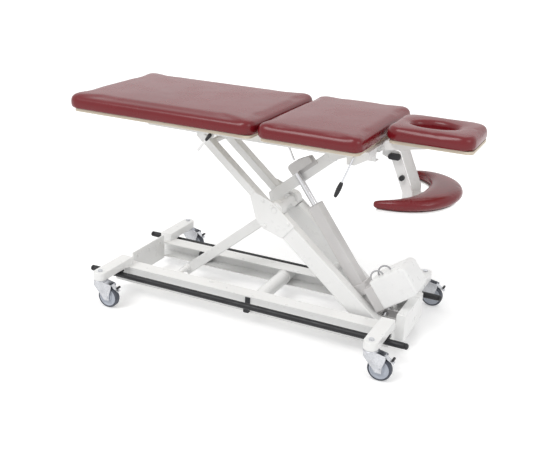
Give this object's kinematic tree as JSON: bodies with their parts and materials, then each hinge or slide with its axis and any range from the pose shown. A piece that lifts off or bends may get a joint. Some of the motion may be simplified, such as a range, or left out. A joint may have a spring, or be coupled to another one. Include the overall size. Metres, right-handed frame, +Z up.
{
  "type": "treatment table",
  "caption": "Height-adjustable treatment table with leg, middle and head cushions, face hole, arm rest, scissor lift with actuator, activation bars and casters.",
  "frame": {"origin": "middle of the table's footprint on the floor", "axes": "+X to the head end, +Y to the far side, +Z up"},
  "size_m": [1.764, 0.8404, 0.9704],
  "materials": {
    "white_paint": "gloss",
    "grey_paint": "satin",
    "steel": "satin",
    "zinc": "satin",
    "black_plastic": "matte",
    "dark_plastic": "matte",
    "grey_plastic": "gloss",
    "tyre": "matte",
    "white_plastic": "gloss",
    "upholstery": "satin",
    "board": "matte",
    "lead": "satin"
  },
  "bodies": {
    "base": {"rail_near": "white_paint", "rail_far": "white_paint", "base_cross_tube": "white_paint", "foot_end_plate": "white_paint", "head_end_box": "white_paint", "foot_outriggers": "white_paint", "head_outriggers": "white_paint", "base_pivot_shaft": "steel", "actuator_mount": "grey_paint", "switch_bracket": "dark_plastic"},
    "bar_near": {"activation_bar_near": "black_plastic"},
    "bar_far": {"activation_bar_far": "black_plastic"},
    "outer_arms": {"outer_arm_near": "white_paint", "outer_arm_far": "white_paint", "outer_cross_tubes": "white_paint"},
    "inner_arms": {"inner_arm": "white_paint", "actuator_clevis": "grey_paint"},
    "rail_rollers": {"base_rollers": "dark_plastic"},
    "track_rollers": {"top_rollers": "dark_plastic"},
    "drive": {"actuator_tube": "grey_paint", "gearbox": "grey_paint", "motor_cover": "white_plastic", "motor_cables": "lead"},
    "push_rod": {"piston_rod": "steel"},
    "top": {"top_frame": "white_paint", "mid_board": "board", "limit_rod": "steel", "mid_cushion": "upholstery"},
    "leg_section": {"leg_frame": "white_paint", "leg_board": "board", "leg_cushion": "upholstery"},
    "gas_cylinder": {"leg_strut_cylinder": "black_plastic"},
    "gas_rod": {"leg_strut_rod": "steel"},
    "head_section": {"head_frame": "white_paint", "head_board": "board", "head_cushion": "upholstery"},
    "arm_rest": {"arm_rest_frame": "white_paint", "arm_rest_cushion": "upholstery"},
    "clamp_knob": {"oval_knob": "black_plastic"},
    "lock_knob": {"small_knob": "black_plastic"},
    "head_release": {"head_lever": "black_plastic"},
    "leg_release": {"leg_lever": "black_plastic"},
    "fork_foot_near": {"fork_foot_near": "zinc"},
    "wheel_foot_near": {"wheel_foot_near": "grey_plastic", "tyre_foot_near": "tyre"},
    "brake_foot_near": {"brake_foot_near": "zinc"},
    "fork_foot_far": {"fork_foot_far": "zinc"},
    "wheel_foot_far": {"wheel_foot_far": "grey_plastic", "tyre_foot_far": "tyre"},
    "brake_foot_far": {"brake_foot_far": "zinc"},
    "fork_head_near": {"fork_head_near": "zinc"},
    "wheel_head_near": {"wheel_head_near": "grey_plastic", "tyre_head_near": "tyre"},
    "brake_head_near": {"brake_head_near": "zinc"},
    "fork_head_far": {"fork_head_far": "zinc"},
    "wheel_head_far": {"wheel_head_far": "grey_plastic", "tyre_head_far": "tyre"},
    "brake_head_far": {"brake_head_far": "zinc"}
  },
  "joints": [
    {"name": "lift", "type": "hinge", "parent": "base", "child": "outer_arms", "pos_m": [0.546, 0, 0.088], "axis": [0, 1, 0], "range_deg": [-14.5, 0]},
    {"name": "scissor_centre", "type": "hinge", "parent": "outer_arms", "child": "inner_arms", "pos_m": [0.03605, 0, 0.51901], "axis": [0, 1, 0], "range_deg": [0, 29]},
    {"name": "top_pivot", "type": "hinge", "parent": "inner_arms", "child": "top", "pos_m": [0.43358, 0, 0.855], "axis": [0, 1, 0], "range_deg": [-14.5, 0]},
    {"name": "actuator_tilt", "type": "hinge", "parent": "base", "child": "drive", "pos_m": [0.511, 0, 0.101], "axis": [0, 1, 0], "range_deg": [-11.4, 0]},
    {"name": "push_rod_pin", "type": "hinge", "parent": "inner_arms", "child": "push_rod", "pos_m": [0.07607, 0, 0.7], "axis": [0, 1, 0], "range_deg": [-26, 0]},
    {"name": "rail_roller_spin", "type": "hinge", "parent": "inner_arms", "child": "rail_rollers", "pos_m": [-0.47391, 0, 0.088], "axis": [0, 1, 0], "continuous": true},
    {"name": "track_roller_spin", "type": "hinge", "parent": "outer_arms", "child": "track_rollers", "pos_m": [-0.36149, 0, 0.855], "axis": [0, 1, 0], "continuous": true},
    {"name": "leg_tilt", "type": "hinge", "parent": "top", "child": "leg_section", "pos_m": [0.031, 0, 0.8747], "axis": [0, 1, 0], "range_deg": [0, 9]},
    {"name": "gas_cylinder_tilt", "type": "hinge", "parent": "top", "child": "gas_cylinder", "pos_m": [0.075, 0, 0.8387], "axis": [0, 1, 0], "range_deg": [0, 8.11]},
    {"name": "gas_rod_tilt", "type": "hinge", "parent": "leg_section", "child": "gas_rod", "pos_m": [-0.31949, 0, 0.8617], "axis": [0, 1, 0], "range_deg": [-1.29, 0]},
    {"name": "head_tilt", "type": "hinge", "parent": "top", "child": "head_section", "pos_m": [0.50308, 0, 0.8737], "axis": [0, 1, 0], "range_deg": [-15, 25]},
    {"name": "arm_rest_swing", "type": "hinge", "parent": "top", "child": "arm_rest", "pos_m": [0.546, 0, 0.838], "axis": [0, 1, 0], "range_deg": [0, 10]},
    {"name": "clamp_knob_turn", "type": "hinge", "parent": "top", "child": "clamp_knob", "pos_m": [0.546, 0, 0.838], "axis": [0, 1, 0], "range_deg": [-90, 90]},
    {"name": "lock_knob_turn", "type": "hinge", "parent": "arm_rest", "child": "lock_knob", "pos_m": [0.583, 0, 0.752], "axis": [0, 1, 0], "range_deg": [-90, 90]},
    {"name": "head_lever_pull", "type": "hinge", "parent": "top", "child": "head_release", "pos_m": [0.433, -0.25, 0.86], "axis": [0, 1, 0], "range_deg": [0, 12], "stiffness_Nm_per_rad": 4, "springref_deg": -5.73},
    {"name": "leg_lever_pull", "type": "hinge", "parent": "leg_section", "child": "leg_release", "pos_m": [-0.185, -0.3, 0.868], "axis": [0, 1, 0], "range_deg": [0, 12], "stiffness_Nm_per_rad": 4, "springref_deg": -5.73},
    {"name": "bar_near_tilt", "type": "hinge", "parent": "base", "child": "bar_near", "pos_m": [0, -0.226, 0.118], "axis": [1, 0, 0], "range_deg": [-3, 3], "stiffness_Nm_per_rad": 260},
    {"name": "bar_far_tilt", "type": "hinge", "parent": "base", "child": "bar_far", "pos_m": [0, 0.226, 0.118], "axis": [1, 0, 0], "range_deg": [-3, 3], "stiffness_Nm_per_rad": 260},
    {"name": "swivel_foot_near", "type": "hinge", "parent": "base", "child": "fork_foot_near", "pos_m": [-0.704, -0.389, 0.1], "axis": [0, 0, 1], "continuous": true},
    {"name": "roll_foot_near", "type": "hinge", "parent": "fork_foot_near", "child": "wheel_foot_near", "pos_m": [-0.659, -0.389, 0.051], "axis": [0, 1, 0], "continuous": true},
    {"name": "brake_foot_near_press", "type": "hinge", "parent": "fork_foot_near", "child": "brake_foot_near", "pos_m": [-0.642, -0.389, 0.109], "axis": [0, 1, 0], "range_deg": [0, 6]},
    {"name": "swivel_foot_far", "type": "hinge", "parent": "base", "child": "fork_foot_far", "pos_m": [-0.704, 0.389, 0.1], "axis": [0, 0, 1], "continuous": true},
    {"name": "roll_foot_far", "type": "hinge", "parent": "fork_foot_far", "child": "wheel_foot_far", "pos_m": [-0.659, 0.389, 0.051], "axis": [0, 1, 0], "continuous": true},
    {"name": "brake_foot_far_press", "type": "hinge", "parent": "fork_foot_far", "child": "brake_foot_far", "pos_m": [-0.642, 0.389, 0.109], "axis": [0, 1, 0], "range_deg": [0, 6]},
    {"name": "swivel_head_near", "type": "hinge", "parent": "base", "child": "fork_head_near", "pos_m": [0.6134, -0.389, 0.1], "axis": [0, 0, 1], "continuous": true},
    {"name": "roll_head_near", "type": "hinge", "parent": "fork_head_near", "child": "wheel_head_near", "pos_m": [0.6584, -0.389, 0.051], "axis": [0, 1, 0], "continuous": true},
    {"name": "brake_head_near_press", "type": "hinge", "parent": "fork_head_near", "child": "brake_head_near", "pos_m": [0.6754, -0.389, 0.109], "axis": [0, 1, 0], "range_deg": [0, 6]},
    {"name": "swivel_head_far", "type": "hinge", "parent": "base", "child": "fork_head_far", "pos_m": [0.6134, 0.389, 0.1], "axis": [0, 0, 1], "continuous": true},
    {"name": "roll_head_far", "type": "hinge", "parent": "fork_head_far", "child": "wheel_head_far", "pos_m": [0.6584, 0.389, 0.051], "axis": [0, 1, 0], "continuous": true},
    {"name": "brake_head_far_press", "type": "hinge", "parent": "fork_head_far", "child": "brake_head_far", "pos_m": [0.6754, 0.389, 0.109], "axis": [0, 1, 0], "range_deg": [0, 6]}
  ],
  "couplings": [
    {"joint": "scissor_centre", "follows": "lift", "ratio": -2},
    {"joint": "top_pivot", "follows": "lift", "ratio": 1},
    {"joint": "actuator_tilt", "follows": "lift", "ratio": 0.77975},
    {"joint": "push_rod_pin", "follows": "lift", "ratio": 1.7797},
    {"joint": "gas_cylinder_tilt", "follows": "leg_tilt", "ratio": 0.87884},
    {"joint": "gas_rod_tilt", "follows": "leg_tilt", "ratio": -0.12116}
  ]
}
